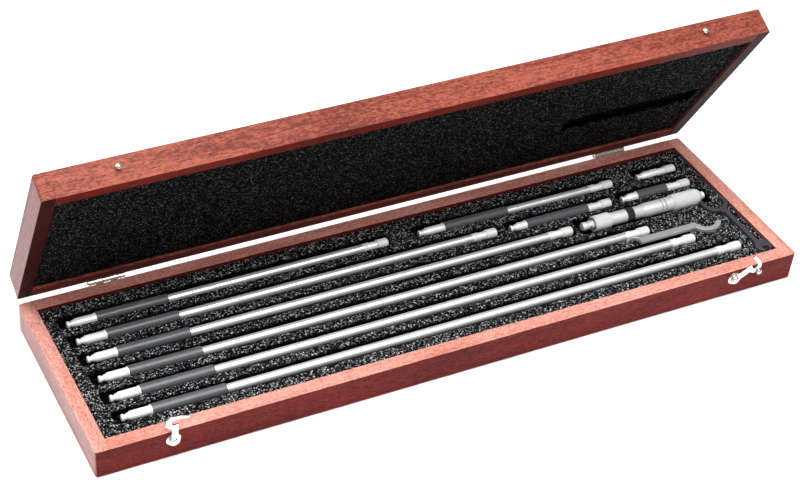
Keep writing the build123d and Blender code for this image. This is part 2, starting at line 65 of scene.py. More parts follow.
class Shader:
    """A material with one Principled shader and short ways to add and link nodes."""

    def __init__(self, name, **sockets):
        self.material = bpy.data.materials.new(name)
        self.material.use_nodes = True
        self.tree = self.material.node_tree
        self.tree.nodes.clear()
        self.surface = self.tree.nodes.new("ShaderNodeBsdfPrincipled")
        output = self.tree.nodes.new("ShaderNodeOutputMaterial")
        self.tree.links.new(self.surface.outputs["BSDF"], output.inputs["Surface"])
        for socket, value in sockets.items():
            self.surface.inputs[socket.replace("_", " ")].default_value = value
        self.coordinates = self.tree.nodes.new("ShaderNodeTexCoord").outputs["Object"]

    def feed(self, target, value):
        """Links a node's output to a socket, or sets the socket to a constant."""
        if isinstance(value, bpy.types.NodeSocket):
            self.tree.links.new(value, target)
        else:
            target.default_value = value

    def mapped(self, scale, tilt=0.0):
        """The piece's own coordinates, turned about X by tilt, then scaled to cells per metre."""
        node = self.tree.nodes.new("ShaderNodeMapping")
        turned = self.tree.nodes.new("ShaderNodeMapping")
        turned.inputs["Rotation"].default_value = (tilt, 0, 0)
        self.tree.links.new(self.coordinates, turned.inputs["Vector"])
        self.tree.links.new(turned.outputs["Vector"], node.inputs["Vector"])
        node.inputs["Scale"].default_value = scale
        return node.outputs["Vector"]

    def noise(self, vector, detail=2.0, roughness=0.5, distortion=0.0):
        node = self.tree.nodes.new("ShaderNodeTexNoise")
        node.inputs["Scale"].default_value = 1.0
        node.inputs["Detail"].default_value = detail
        node.inputs["Roughness"].default_value = roughness
        node.inputs["Distortion"].default_value = distortion
        self.tree.links.new(vector, node.inputs["Vector"])
        return node.outputs["Fac"]

    def cells(self, vector, output="Color"):
        node = self.tree.nodes.new("ShaderNodeTexVoronoi")
        node.inputs["Scale"].default_value = 1.0
        self.tree.links.new(vector, node.inputs["Vector"])
        return node.outputs[output]

    def ramp(self, value, *stops):
        """Maps a value onto (position, colour) stops; a colour may be a single grey."""
        node = self.tree.nodes.new("ShaderNodeValToRGB")
        ramp = node.color_ramp
        while len(ramp.elements) < len(stops):
            ramp.elements.new(0.5)
        for element, (position, colour) in zip(ramp.elements, stops):
            element.position = position
            grey = isinstance(colour, (int, float))
            element.color = (colour, colour, colour, 1) if grey else (*colour, 1)
        self.tree.links.new(value, node.inputs["Fac"])
        return node.outputs["Color"]

    def mix(self, factor, first, second, mode="MIX"):
        node = self.tree.nodes.new("ShaderNodeMix")
        node.data_type = "RGBA"
        node.blend_type = mode
        sockets = {socket.identifier: socket for socket in node.inputs}
        self.feed(sockets["Factor_Float"], factor)
        for key, colour in (("A_Color", first), ("B_Color", second)):
            linked = isinstance(colour, bpy.types.NodeSocket)
            self.feed(sockets[key], colour if linked else (*colour, 1))
        return next(socket for socket in node.outputs if socket.identifier == "Result_Color")

    def math(self, operation, *values):
        node = self.tree.nodes.new("ShaderNodeMath")
        node.operation = operation
        for socket, value in zip(node.inputs, values):
            self.feed(socket, value)
        return node.outputs["Value"]

    def split(self, value, kind, output):
        """One channel of a colour (kind "Color") or of a vector (kind "XYZ")."""
        node = self.tree.nodes.new("ShaderNodeSeparate" + kind)
        self.tree.links.new(value, node.inputs[0])
        return node.outputs[output]

    def bump(self, height, depth):
        """Bump whose height of 1 stands for a real depth in metres."""
        node = self.tree.nodes.new("ShaderNodeBump")
        node.inputs["Strength"].default_value = 1.0
        node.inputs["Distance"].default_value = depth
        self.tree.links.new(height, node.inputs["Height"])
        self.tree.links.new(node.outputs["Normal"], self.surface.inputs["Normal"])

    def set(self, socket, value):
        """Feeds a socket of the Principled shader."""
        self.feed(self.surface.inputs[socket], value)


# ------------------------------------------------------------------ materials


def wood(name, grain_axis, tilt, stains, coat):
    """Stained, lacquered hardwood, its grain, pores and fibres along one axis of the case."""
    light, dark = stains
    gloss = 0.04 + 0.7 * coat
    shader = Shader(name, Coat_Weight=coat, Coat_Roughness=0.22, Specular_IOR_Level=gloss)

    def along(length, across):
        """Feature sizes in millimetres along and across the grain."""
        scale = [1000 / across] * 3
        scale[grain_axis] = 1000 / length
        return shader.mapped(scale, tilt)

    figure = shader.noise(along(90, 14), detail=3, distortion=0.6)
    mottle = shader.noise(along(2.6, 1.3), detail=3, roughness=0.65)
    fibre = shader.noise(along(9, 0.55), detail=3, roughness=0.6)
    pores = shader.noise(along(2.2, 0.4), detail=1)
    grain = shader.math("MULTIPLY", fibre, 0.35)
    grain = shader.math("ADD", grain, shader.math("MULTIPLY", figure, 0.25))
    grain = shader.math("ADD", grain, shader.math("MULTIPLY", mottle, 0.40))
    stain = shader.mix(shader.ramp(grain, (0.43, 0.0), (0.57, 1.0)), dark, light)
    pore_mask = shader.ramp(pores, (0.30, 1.0), (0.40, 0.0))
    pore_colour = tuple(0.5 * channel for channel in dark)
    pore_share = shader.math("MULTIPLY", pore_mask, 0.75)
    shader.set("Base Color", shader.mix(pore_share, stain, pore_colour))
    shader.set("Roughness", shader.ramp(fibre, (0.3, 0.52), (0.7, 0.38)))
    height = shader.math("SUBTRACT", shader.math("MULTIPLY", fibre, 0.5), pore_mask)
    shader.bump(height, 0.05 * MM)
    return shader.material


FLECKS_PER_METRE = 1350
CLUMPS_PER_METRE = 500
# Depth in millimetres over which the painted shade in the foam's pockets deepens.
FOAM_SHADE_DEPTH = 3.0
# Heights of the foam's faces in the shut case.
TRAY_FOAM_FACE = 20.7
LID_FOAM_FACE = 23.7


def foam_material(name, tilt, paleness_and_shade, face, inward):
    """Open-cell charcoal foam: dark cells with pale flecks where cell walls catch the light.

    The foam's face is at a height given with the case shut, and inward is 1 or -1, the way up or
    down into the foam. The flecks fade with depth as painted shade, so the pockets are nearly
    black. A low paleness, as given for the lid, paints shade over the whole foam.
    """
    shader = Shader(name, Roughness=0.9, Specular_IOR_Level=0.03)
    fine = shader.mapped((FLECKS_PER_METRE,) * 3, tilt)
    coarse = shader.mapped((CLUMPS_PER_METRE,) * 3, tilt)
    cell_value = shader.split(shader.cells(fine), "Color", "Red")
    brightness = shader.ramp(
        cell_value, (0.0, 0.002), (0.50, 0.006), (0.72, 0.035), (0.87, 0.20), (1.0, 0.80)
    )
    clumps = shader.ramp(shader.noise(coarse, detail=2), (0.35, 0.45), (0.65, 1.25))
    flecked = shader.mix(1.0, brightness, clumps, "MULTIPLY")
    # Painted shade: the flecks darken with depth below the foam's face, so the pockets look black.
    height = shader.split(shader.mapped((1, 1, 1), tilt), "XYZ", "Z")
    turned_hinge = Matrix.Rotation(tilt, 3, "X") @ HINGE_POINT
    level = face + turned_hinge.z - HINGE_POINT.z
    depth = shader.math("SUBTRACT", height, level)
    shade_share = shader.math("MULTIPLY", depth, inward / (FOAM_SHADE_DEPTH * MM))
    painted_pocket_shade = shader.ramp(shade_share, (0.2, paleness_and_shade), (0.75, 0.06 * paleness_and_shade))
    shader.set("Base Color", shader.mix(1.0, flecked, painted_pocket_shade, "MULTIPLY"))
    holes = shader.cells(fine, "Distance")
    shader.bump(shader.math("ADD", holes, shader.noise(coarse, detail=2)), 0.35 * MM)
    return shader.material


def ground_steel(name, colour, roughness, metallic, line_depth=0.0012):
    """Ground or turned steel: fine rings round the axis, which is the piece's own X."""
    shader = Shader(name, Metallic=metallic)
    rings = shader.noise(shader.mapped((9000, 90, 90)), detail=2)
    smudge = shader.noise(shader.mapped((110, 110, 110)), detail=3)
    spread = shader.math("MULTIPLY_ADD", smudge, 0.14, roughness - 0.07)
    shader.set("Roughness", shader.math("MULTIPLY_ADD", rings, 0.06, spread))
    shader.set("Base Color", shader.mix(smudge, tuple(0.93 * c for c in colour), colour))
    shader.bump(rings, line_depth * MM)
    return shader.material


def satin_metal(name, colour, roughness, grain=600.0, depth=0.004, metallic=1.0):
    """Plated or blasted metal with a soft, even grain."""
    shader = Shader(name, Metallic=metallic)
    grit = shader.noise(shader.mapped((grain * 6,) * 3), detail=2)
    cloud = shader.noise(shader.mapped((grain * 0.2,) * 3), detail=3)
    shader.set("Roughness", shader.math("MULTIPLY_ADD", cloud, 0.16, roughness - 0.08))
    shader.set("Base Color", shader.mix(cloud, tuple(0.9 * c for c in colour), colour))
    shader.bump(grit, depth * MM)
    return shader.material


def grip_plastic(name):
    """Black heat-insulating sleeve with a faint moulded grain and handling marks."""
    shader = Shader(name, Specular_IOR_Level=0.5)
    grit = shader.noise(shader.mapped((2600, 2600, 2600)), detail=2)
    wear = shader.noise(shader.mapped((160, 420, 420)), detail=3)
    shader.set("Base Color", shader.mix(wear, (0.055, 0.058, 0.062), (0.090, 0.094, 0.100)))
    shader.set("Roughness", shader.ramp(wear, (0.35, 0.30), (0.65, 0.42)))
    shader.bump(grit, 0.006 * MM)
    return shader.material


def ink(name):
    """Dull black filling of engraved marks, also painted shade in the tip's cross hole."""
    shader = Shader(name, Roughness=0.7)
    grain = shader.noise(shader.mapped((3000, 3000, 3000)), detail=1)
    shader.set("Base Color", shader.mix(grain, (0.015, 0.015, 0.017), (0.05, 0.05, 0.055)))
    return shader.material


# Each stain is a light and a dark colour. The wood is keyed by body, then 0 for the long walls
# and panels or 1 for the end walls, which is also the axis that the grain follows.
TRAY_STAIN = ((0.175, 0.018, 0.014), (0.070, 0.0075, 0.0065))
TRAY_END_STAIN = ((0.30, 0.075, 0.066), (0.17, 0.036, 0.032))
LID_STAIN = ((0.30, 0.076, 0.050), (0.11, 0.024, 0.016))
LID_END_STAIN = ((0.20, 0.050, 0.044), (0.10, 0.024, 0.022))
# Rim stains: painted light on the tray's rims, painted shade on the lid's rims.
TRAY_RIM_STAIN_WITH_PAINTED_LIGHT = ((0.62, 0.31, 0.255), (0.38, 0.125, 0.093))
LID_RIM_STAIN_WITH_PAINTED_SHADE = ((0.17, 0.020, 0.011), (0.07, 0.007, 0.005))
LID_END_RIM_STAIN_WITH_PAINTED_SHADE = ((0.040, 0.005, 0.004), (0.018, 0.002, 0.002))

WOOD = {
    ("tray", 0): wood("tray_wood_long", 0, 0.0, TRAY_STAIN, 0.03),
    ("tray", 1): wood("tray_wood_end", 1, 0.0, TRAY_END_STAIN, 0.35),
    ("lid", 0): wood("lid_wood_long", 0, LID_ANGLE, LID_STAIN, 0.05),
    ("lid", 1): wood("lid_wood_end", 1, LID_ANGLE, LID_END_STAIN, 0.15),
}
# Rim finishes, with painted light on the tray and painted shade on the lid.
RIM_WOOD_WITH_PAINTED_LIGHT_AND_SHADE = {
    ("tray", 0): wood("tray_rim_long_painted_light", 0, 0.0, TRAY_RIM_STAIN_WITH_PAINTED_LIGHT, 0.05),
    ("tray", 1): wood("tray_rim_end_painted_light", 1, 0.0, TRAY_RIM_STAIN_WITH_PAINTED_LIGHT, 0.05),
    ("lid", 0): wood("lid_rim_long_painted_shade", 0, LID_ANGLE, LID_RIM_STAIN_WITH_PAINTED_SHADE, 0.0),
    ("lid", 1): wood("lid_rim_end_painted_shade", 1, LID_ANGLE, LID_END_RIM_STAIN_WITH_PAINTED_SHADE, 0.0),
}
FOAM = {
    "tray": foam_material("tray_foam", 0.0, 0.62, TRAY_FOAM_FACE * MM, -1),
    # The lid's foam is given a low paleness: painted shade, as its face is turned from the light.
    "lid": foam_material("lid_foam", LID_ANGLE, 0.14, LID_FOAM_FACE * MM, 1),
}
TUBE_STEEL = ground_steel("tube_steel", (0.95, 0.95, 0.95), 0.30, metallic=0.70)
TURNED_STEEL = ground_steel(
    "turned_steel", (0.92, 0.92, 0.92), 0.42, metallic=0.35, line_depth=0.003
)
CAP_STEEL = satin_metal("cap_steel", (0.76, 0.75, 0.71), 0.5, metallic=0.25)
SATIN_CHROME = satin_metal("satin_chrome", (0.70, 0.71, 0.715), 0.42, metallic=0.35)
KNURL_CHROME = satin_metal("knurl_chrome", (0.63, 0.635, 0.64), 0.55, metallic=0.25)
GRIP = grip_plastic("grip_black")
BLACK_RING = satin_metal("black_oxide", (0.035, 0.037, 0.038), 0.42, metallic=0.6)
PLATED = satin_metal("nickel_plate", (0.80, 0.78, 0.73), 0.24, grain=250.0, depth=0.010)
DARK_WRENCH = satin_metal(
    "blued_steel", (0.050, 0.050, 0.056), 0.45, grain=400.0, depth=0.006, metallic=0.3
)
LIGHT_WRENCH = satin_metal(
    "grey_steel", (0.39, 0.375, 0.385), 0.45, grain=400.0, depth=0.006, metallic=0.4
)
# Black ink for marks, also used as painted shade in the tip's cross hole.
INK_AND_PAINTED_SHADE = ink("mark_ink_and_painted_shade")


# ------------------------------------------------------------------ mesh helpers


def shade(mesh, sharp_angle=35.0):
    """Smooth shading with sharp edges above an angle in degrees."""
    mesh.shade_smooth()
    mesh.set_sharp_from_angle(angle=math.radians(sharp_angle))


def link(name, data):
    """A new object in the scene, made of a mesh, a lamp or a camera."""
    made = bpy.data.objects.new(name, data)
    bpy.context.scene.collection.objects.link(made)
    return made


def piece_from_mesh(mesh, name, node, slot, *materials):
    """A shown piece that stands for a CAD node, which it hides."""
    piece = link(name, mesh)
    for material in materials:
        mesh.materials.append(material)
    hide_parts(node)
    return piece


WELD_DISTANCE = 0.002
FLAT_WITHIN_DEGREES = 0.8


def welded_copy(node, name):
    """A copy of the CAD node's mesh, its shared corners merged and its flat areas single faces."""
    source = frame["nodes"][node].data
    bm = bmesh.new()
    corners = [bm.verts.new(vertex.co) for vertex in source.vertices]
    for polygon in source.polygons:
        bm.faces.new([corners[index] for index in polygon.vertices])
    bmesh.ops.remove_doubles(bm, verts=bm.verts, dist=WELD_DISTANCE * MM)
    flat = math.radians(FLAT_WITHIN_DEGREES)
    bmesh.ops.dissolve_limit(bm, angle_limit=flat, verts=bm.verts, edges=bm.edges)
    mesh = bpy.data.meshes.new(name)
    bm.to_mesh(mesh)
    bm.free()
    return mesh


def eased_piece(node, slot, width, *materials):
    """A CAD node with its sharp edges rounded to a width in millimetres."""
    mesh = welded_copy(node, node + "_eased")
    shade(mesh, 30)
    piece = piece_from_mesh(mesh, node + "_eased", node, slot, *materials)
    bevel = piece.modifiers.new("eased_edges", "BEVEL")
    bevel.width = width * MM
    bevel.segments = 2
    bevel.limit_method = "ANGLE"
    bevel.angle_limit = math.radians(32)
    bevel.harden_normals = True
    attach(piece, BODY_OF[node])
    return piece


def lathe_mesh(name, profile, segments=64, relief=None, ring=False):
    """Mesh turned about +X from (distance, radius) points in millimetres.

    A ring's profile is a closed loop; any other profile is closed by a flat face at each end.
    """
    angles = np.arange(segments) * 2 * math.pi / segments
    rows = []
    for x, radius in profile:
        lift = relief(x, angles) if relief else 0.0
        reach = (radius + lift) * np.ones(segments)
        along = np.full(segments, x)
        rows.append(np.stack([along, reach * np.cos(angles), reach * np.sin(angles)], 1))
    vertices = np.concatenate(rows) * MM
    count = len(profile)
    faces = []
    for row in range(count if ring else count - 1):
        low, high = row * segments, ((row + 1) % count) * segments
        for step in range(segments):
            after = (step + 1) % segments
            faces.append((low + step, low + after, high + after, high + step))
    if not ring:
        faces.append(tuple(range(segments))[::-1])
        faces.append(tuple(range((count - 1) * segments, count * segments)))
    mesh = bpy.data.meshes.new(name)
    mesh.from_pydata(vertices.tolist(), [], faces)
    bm = bmesh.new()
    bm.from_mesh(mesh)
    bmesh.ops.recalc_face_normals(bm, faces=bm.faces)
    bm.to_mesh(mesh)
    bm.free()
    return mesh


def eased(profile, size=0.12):
    """Replaces each corner between two profile lines by a small flat."""
    points = [profile[0]]
    for before, here, after in zip(profile, profile[1:], profile[2:]):
        for other in (before, after):
            length = math.dist(here, other)
            share = min(size, 0.4 * length) / length
            points.append(tuple(a + (b - a) * share for a, b in zip(here, other)))
    points.append(profile[-1])
    return points


def sampled(profile, start, end, step):
    """Adds evenly spaced points between two distances, so that relief can be cut there."""
    distances, radii = zip(*profile)
    dense = [(x, float(np.interp(x, distances, radii))) for x in np.arange(start, end, step)]
    return sorted([point for point in profile if not start <= point[0] <= end] + dense)


def wave(turns):
    """Distance from the nearest groove, 0 in the groove and 1 midway between two."""
    return 1 - np.abs(2 * (turns - np.floor(turns)) - 1)


def run_out(x, start, end, fade):
    """Strength of relief at a distance: 1 between start and end, falling to 0 at both."""
    return min(1.0, max(0.0, (x - start) / fade), max(0.0, (end - x) / fade))


def diamond_knurl(start, end, teeth, lead, depth, fade=0.5):
    """Relief of crossed grooves between two distances, running out at both ends."""

    def relief(x, angles):
        strength = run_out(x, start, end, fade)
        round_turns, along_turns = angles * teeth / (2 * math.pi), x / lead
        groove = np.minimum(wave(round_turns + along_turns), wave(round_turns - along_turns))
        return -depth * strength * (1 - np.clip(groove / 0.55, 0, 1))

    return relief


def straight_knurl(start, end, teeth, depth, fade=0.3):
    """Relief of grooves along the axis between two distances."""

    def relief(x, angles):
        groove = wave(angles * teeth / (2 * math.pi))
        return -depth * run_out(x, start, end, fade) * (1 - np.clip(groove / 0.6, 0, 1))

    return relief


def turned_piece(name, node, at, profile, material, slot, **options):
    """A lathe-turned piece that starts at a point and stands for a CAD node."""
    mesh = lathe_mesh(name, profile, **options)
    shade(mesh)
    piece = piece_from_mesh(mesh, name, node, slot, material)
    piece.location = at
    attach(piece, BODY_OF[node])


# ------------------------------------------------------------------ case


def closed_frame(vector, body):
    """A lid direction as it points when the lid is shut."""
    return Matrix.Rotation(LID_ANGLE, 3, "X") @ vector if body == "lid" else vector


WALL_EASING = 0.3
RIM_TOLERANCE = 0.5


def case_wall(node):
    """A wall or panel with eased edges and a finish chosen by where each face points.

    Faces to the left or right have the end-wall stain, and those that meet the other half of the
    case have the rim's, which carries painted light on the tray and painted shade on the lid.
    """
    body = BODY_OF[node]
    grain = 1 if node.endswith(("_left", "_right")) else 0
    finishes = WOOD[body, 0], WOOD[body, 1], RIM_WOOD_WITH_PAINTED_LIGHT_AND_SHADE[body, grain]
    piece = eased_piece(node, "case_wood", WALL_EASING, *finishes)
    long_finish, end_finish, rim_finish_with_painted_light_and_shade = range(3)
    for face in piece.data.polygons:
        face.material_index = end_finish if abs(face.normal.x) > 0.7 else long_finish
    if node.endswith(("_top", "_bottom")):
        return
    facing = Vector((0, 0, 1 if body == "tray" else -1))
    towards = [
        face for face in piece.data.polygons
        if closed_frame(face.normal, body).dot(facing) > 0.99
    ]
    heights = [closed_frame(face.center - HINGE_POINT, body).dot(facing) for face in towards]
    # Rim faces get painted light on the tray and painted shade on the lid.
    for face, height in zip(towards, heights):
        at_rim = height > max(heights) - RIM_TOLERANCE * MM
        face.material_index = rim_finish_with_painted_light_and_shade if at_rim else long_finish


for side in ("front", "back", "left", "right"):
    case_wall("tray_" + side)
    case_wall("lid_" + side)
case_wall("tray_bottom")
case_wall("lid_top")


# ------------------------------------------------------------------ foam

PIT_DEPTH = 0.30
LARGE_PITS_PER_METRE = 620
SMALL_PITS_PER_METRE = 1300
SMALL_PIT_SHIFT = Vector((7, 3, 5))


def pitted(points, per_metre, shift):
    """Smooth noise from 0 to 1 at each point."""
    places = (Vector(point) * per_metre + shift for point in points)
    return np.array([0.5 + 0.5 * noise.noise(place) for place in places])


def roughened_foam(node, pitch):
    """Foam cut from sheet: meshed at a pitch in millimetres, the whole surface pitted inwards.

    The lid's foam is meshed as it lies in the shut case, so that its mesh runs square to its face.
    """
    body = BODY_OF[node]
    from_hinge, to_hinge = Matrix.Translation(HINGE_POINT), Matrix.Translation(-HINGE_POINT)
    shut = from_hinge @ Matrix.Rotation(LID_ANGLE, 4, "X") @ to_hinge
    mesh = welded_copy(node, node + "_cut")
    if body == "lid":
        mesh.transform(shut)
    piece = piece_from_mesh(mesh, node + "_cut", node, "foam", FOAM[body])
    remesh = piece.modifiers.new("even_mesh", "REMESH")
    remesh.mode = "VOXEL"
    remesh.voxel_size = pitch * MM
    bpy.context.view_layer.update()
    evaluated = piece.evaluated_get(bpy.context.evaluated_depsgraph_get())
    even = bpy.data.meshes.new_from_object(evaluated)
    piece.modifiers.clear()
    piece.data = even
    even.name = node + "_cut"
    even.materials.clear()
    even.materials.append(FOAM[body])
    moved = np.empty(len(even.vertices) * 3)
    even.vertices.foreach_get("co", moved)
    normals = np.empty(len(even.vertices) * 3)
    even.vertex_normals.foreach_get("vector", normals)
    points = moved.reshape(-1, 3)
    large = pitted(points, LARGE_PITS_PER_METRE, Vector())
    small = pitted(points, SMALL_PITS_PER_METRE, SMALL_PIT_SHIFT)
    inward = PIT_DEPTH * MM * (0.55 * large + 0.45 * small)
    points -= normals.reshape(-1, 3) * inward[:, None]
    even.vertices.foreach_set("co", points.ravel())
    if body == "lid":
        even.transform(shut.inverted())
    even.update()
    even.shade_smooth()
    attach(piece, body)


roughened_foam("tray_foam_insert", 0.95)
roughened_foam("tray_foam_base", 1.6)
roughened_foam("lid_foam", 0.95)


# ------------------------------------------------------------------ fittings

for side in ("left", "right"):
    eased_piece("hook_" + side, "plated_fitting", 0.22, PLATED)
    eased_piece(f"hinge_{side}_tray_leaf", "plated_fitting", 0.12, PLATED)
    eased_piece(f"hinge_{side}_lid_leaf", "plated_fitting", 0.12, PLATED)
    eased_piece(f"hinge_{side}_pin", "plated_fitting", 0.08, PLATED)
for node in ("hook_washers", "hook_pivot_screws", "hook_rest_pin", "lid_pegs"):
    eased_piece(node, "plated_fitting", 0.10, PLATED)
for node in ("hinge_tray_screws", "hinge_lid_screws"):
    eased_piece(node, "plated_fitting", 0.06, PLATED)


# ------------------------------------------------------------------ rods

# Distances from a rod's left end, and radii, as in the CAD.
SPIGOT = [
    (0, 2.0), (0.4, 2.4), (1.5, 2.4), (2.0, 1.8), (3.2, 1.8), (3.7, 2.4), (4.6, 2.4), (6.2, 3.15),
]
TUBE_R, FERRULE_R, RING_R, GRIP_R, NUT_R, CAP_R = 3.0, 3.15, 3.5, 3.95, 3.3, 3.6
GROOVE_R = TUBE_R - 0.35
COLLAR_LENGTH = 1.0
# Distances back from a rod's right end.
NUT_START, NUT_END, CAP_LENGTH, CAP_KNURL_END, DOME = 19.2, 14.9, 8.7, 1.6, 1.3
CAP_KNURL_INSET = 0.5
GRIP_CHAMFER = 0.35


def rod(node):
    """An extension rod: stepped spigot, ferrule, tube with grip, ring pair, neck, knurled cap."""
    low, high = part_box(node)
    grip_node = node + "_grip"
    gripped = grip_node in frame["nodes"]
    length = (high.x - low.x) / MM
    at = Vector((low.x, (low.y + high.y) / 2, (low.z + high.z) / 2))
    nut_start, nut_end, cap_start = length - NUT_START, length - NUT_END, length - CAP_LENGTH
    knurl_start, knurl_end = cap_start + CAP_KNURL_INSET, length - CAP_KNURL_END
    grip_start = (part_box(grip_node)[0].x - low.x) / MM if gripped else nut_start

    def add(part, profile, material, **options):
        turned_piece(f"{node}_{part}", node, at, profile, material, "rod_steel", **options)

    ferrule_end = grip_start - COLLAR_LENGTH if gripped else grip_start
    ferrule = [*SPIGOT, (ferrule_end, FERRULE_R)]
    if gripped:
        ferrule += [(ferrule_end, RING_R), (grip_start, RING_R)]
        add("tube", [(grip_start, TUBE_R), (nut_start, TUBE_R)], TUBE_STEEL)
    add("spigot", eased(ferrule), TURNED_STEEL)
    middle = (nut_start + nut_end) / 2
    rings = [
        (nut_start, NUT_R), (middle - 0.45, NUT_R), (middle - 0.3, GROOVE_R),
        (middle + 0.3, GROOVE_R), (middle + 0.45, NUT_R), (nut_end, NUT_R),
    ]
    add("rings", eased(rings, 0.15), TURNED_STEEL)
    add("neck", [(nut_end, TUBE_R - 0.1), (cap_start, TUBE_R - 0.1)], TURNED_STEEL)
    cap = [(cap_start, CAP_R - 0.3), (cap_start + 0.3, CAP_R), (length - DOME, CAP_R)]
    cap += [
        (length - DOME + DOME * math.sin(turn), CAP_R - DOME + DOME * math.cos(turn))
        for turn in np.linspace(0.26, math.pi / 2, 6)
    ]
    cap = sampled(cap, knurl_start, knurl_end, 0.13)
    knurl = diamond_knurl(knurl_start, knurl_end, teeth=36, lead=1.1, depth=0.10)
    add("cap", cap, CAP_STEEL, segments=216, relief=knurl)
    if gripped:
        start, end = [(corner.x - low.x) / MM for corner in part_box(grip_node)]
        edge = GRIP_R - GRIP_CHAMFER
        outline = [
            (start, TUBE_R), (start, edge), (start + GRIP_CHAMFER, GRIP_R),
            (end - GRIP_CHAMFER, GRIP_R), (end, edge), (end, TUBE_R),
        ]
        turned_piece(node + "_sleeve", grip_node, at, outline, GRIP, "grip_black", ring=True)


for node in sorted(frame["nodes"]):
    if node.startswith("rod_") and not node.endswith("_grip"):
        rod(node)


# ------------------------------------------------------------------ measuring head

SLEEVE_LOW, SLEEVE_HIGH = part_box("head_sleeve")
HEAD_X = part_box("head_tip")[0].x
HEAD_AT = Vector((HEAD_X, (SLEEVE_LOW.y + SLEEVE_HIGH.y) / 2, (SLEEVE_LOW.z + SLEEVE_HIGH.z) / 2))
# Radii, as in the CAD.
TIP_R, TIP_BORE_R, COLLAR_R, COLLAR_BORE_R = 3.1, 3.16, 5.8, 4.6
BODY_R, RING_SEAT_R, RING_EDGE_R, RING_TOP_R = 4.8, 4.0, 4.85, 5.15
SLEEVE_R, SLEEVE_BORE_R = 4.6, 3.4
THIMBLE_EDGE_R, THIMBLE_R, KNURL_R, THIMBLE_BORE_R = 4.9, 5.3, 6.15, 4.68
SPINDLE_R, STEM_R, STEM_BORE_R, BUTTON_R = 2.8, 2.0, 2.05, 2.8
# Distances from the thimble's left end.
BEVEL_END, KNURL_START, SHOULDER_START, THIMBLE_BORE_END = 2.4, 25.0, 46.2, 35.54
# The collar narrows to the tip's bore at its right end. The spindle becomes a stem, then a button.
COLLAR_NECK = 8.0
SPINDLE_LENGTH, BUTTON_LENGTH = 53.4, 2.6
# The cross hole in the tip: its distance, its turn about the head's axis, and a reach that takes
# in its wall and nothing else.
CROSS_HOLE_AT, CROSS_HOLE_TURN, CROSS_HOLE_REACH = 6.4, math.radians(82), 0.85


def head_x(node):
    """A node's left and right ends, in millimetres from the head's left contact."""
    return [(corner.x - HEAD_X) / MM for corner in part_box(node)]


def head_piece(name, node, profile, material, slot, **options):
    turned_piece(name, node, HEAD_AT, profile, material, slot, **options)


def relief_piece(mesh, node, slot, *materials):
    """A head piece whose relief is already cut, standing for its CAD node."""
    shade(mesh, 40)
    piece = piece_from_mesh(mesh, mesh.name, node, slot, *materials)
    piece.location = HEAD_AT
    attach(piece, BODY_OF[node])


def apply_relief(mesh, relief, reach):
    """Cuts relief into the vertices that lie at least a reach in millimetres from the axis."""
    for vertex in mesh.vertices:
        radius = math.hypot(vertex.co.y, vertex.co.z) / MM
        if radius >= reach:
            angle = math.atan2(vertex.co.z, vertex.co.y)
            lift = float(relief(vertex.co.x / MM, np.array([angle]))[0])
            factor = (radius + lift) / radius
            vertex.co.y *= factor
            vertex.co.z *= factor


def head_collar():
    start, end = head_x("head_collar")
    outer = [
        (start, COLLAR_R - 0.5), (start + 0.5, COLLAR_R),
        (end - 0.5, COLLAR_R), (end, COLLAR_R - 0.5),
    ]
    outer = sampled(outer, start + 0.8, end - 0.8, 0.14)
    bore_end = end - COLLAR_NECK
    inner = [
        (end, TIP_BORE_R), (bore_end, TIP_BORE_R), (bore_end, COLLAR_BORE_R),
        (start + 0.3, COLLAR_BORE_R), (start, COLLAR_BORE_R + 0.3),
    ]
    mesh = lathe_mesh("head_collar_knurled", outer + inner, 312, ring=True)
    knurl = diamond_knurl(start + 1.0, end - 1.0, teeth=52, lead=1.25, depth=0.16)
    apply_relief(mesh, knurl, COLLAR_R - 0.05)
    relief_piece(mesh, "head_collar", "rod_steel", KNURL_CHROME)


def head_body():
    start = head_x("head_body")[0]
    ring_start, ring_end = head_x("head_lock_ring")
    step = head_x("head_collar")[1] + 0.2
    profile = [
        (start, TIP_R), (step, TIP_R), (step, BODY_R - 0.35), (step + 0.35, BODY_R),
        (ring_start - 0.35, BODY_R), (ring_start, BODY_R - 0.3),
        (ring_start, RING_SEAT_R), (ring_end, RING_SEAT_R),
    ]
    head_piece(
        "head_body_turned", "head_body", profile, SATIN_CHROME, "satin_chrome", segments=96
    )


def head_lock_ring():
    start, end = head_x("head_lock_ring")
    ring = [(start, RING_SEAT_R), (start, RING_EDGE_R), (start + 0.3, RING_TOP_R)]
    ring += [(float(x), RING_TOP_R) for x in np.arange(start + 0.5, end - 0.4, 0.25)]
    ring += [(end - 0.3, RING_TOP_R), (end, RING_EDGE_R), (end, RING_SEAT_R)]
    mesh = lathe_mesh("head_lock_ring_fluted", ring, 360, ring=True)
    flutes = straight_knurl(start + 0.7, end - 0.7, teeth=60, depth=0.12)
    apply_relief(mesh, flutes, RING_TOP_R - 0.05)
    relief_piece(mesh, "head_lock_ring", "ring_black", BLACK_RING)


def head_sleeve():
    start, end = head_x("head_sleeve")
    profile = [
        (start, SLEEVE_BORE_R), (start, SLEEVE_R), (end, SLEEVE_R), (end, SLEEVE_BORE_R),
    ]
    head_piece(
        "head_sleeve_turned", "head_sleeve", profile, SATIN_CHROME, "satin_chrome",
        segments=96, ring=True,
    )


